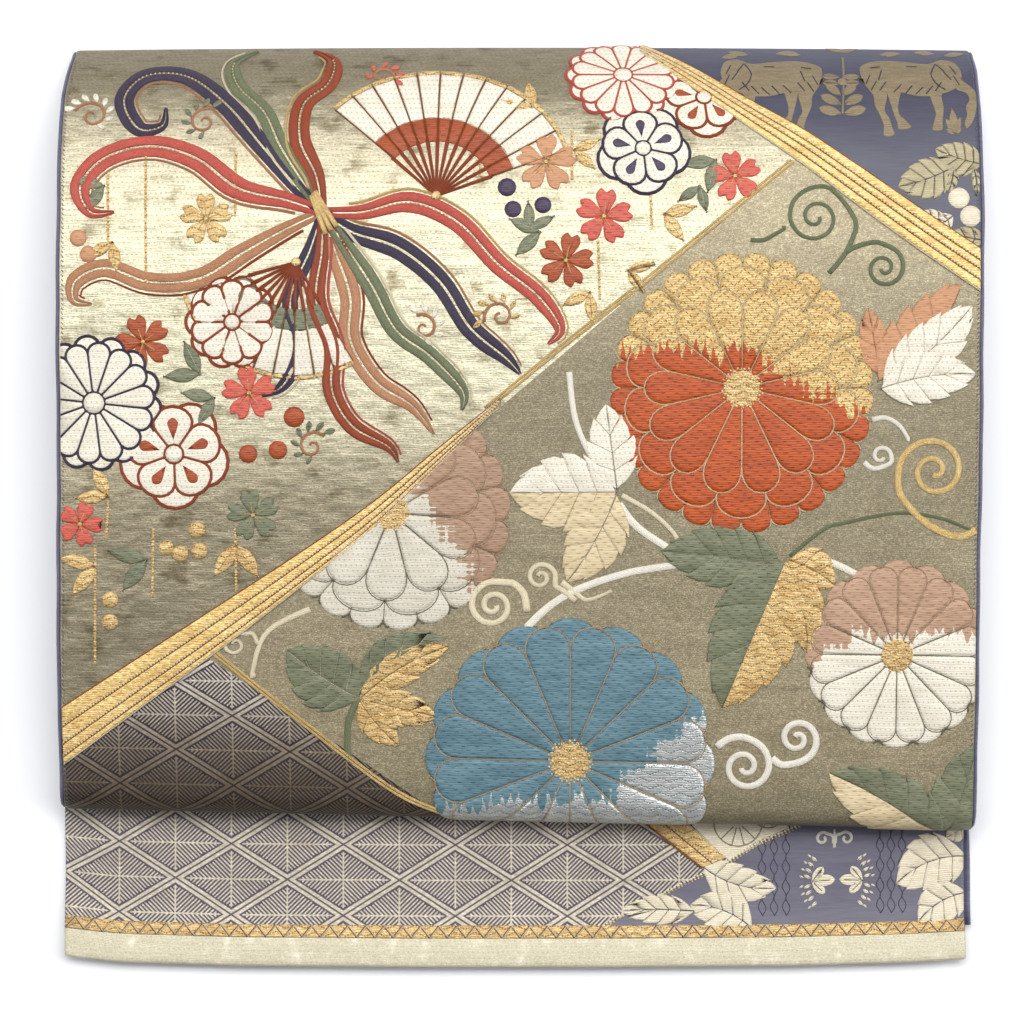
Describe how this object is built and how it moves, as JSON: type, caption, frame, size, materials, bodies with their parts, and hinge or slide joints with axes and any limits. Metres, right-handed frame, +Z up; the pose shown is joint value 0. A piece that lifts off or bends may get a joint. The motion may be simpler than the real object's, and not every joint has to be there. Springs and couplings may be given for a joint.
{
  "type": "obi sash",
  "caption": "Double-cloth obi sash folded flat: a drum-shaped stretch arches over the folded rest and the tail end shows below it.",
  "frame": {"origin": "on the table, at the centre of the bounding box", "axes": "+Z up from the table, +Y from the tail end to the drum's top edge, +X across the cloth to the right as seen from above"},
  "size_m": [0.31, 0.3162, 0.033],
  "materials": {
    "front_brocade": "silk brocade with gold and coloured pattern threads",
    "gold_brocade": "silk brocade with a pale gold end",
    "navy_silk": "plain navy silk, slightly slubbed",
    "folded_sash": "layers of the same two cloths seen at their edges"
  },
  "bodies": {
    "root": {"drum_front_cloth": "front_brocade", "drum_back_cloth": "navy_silk", "tail_front_cloth": "gold_brocade", "tail_back_cloth": "navy_silk", "inner_folds": "folded_sash"}
  },
  "joints": []
}
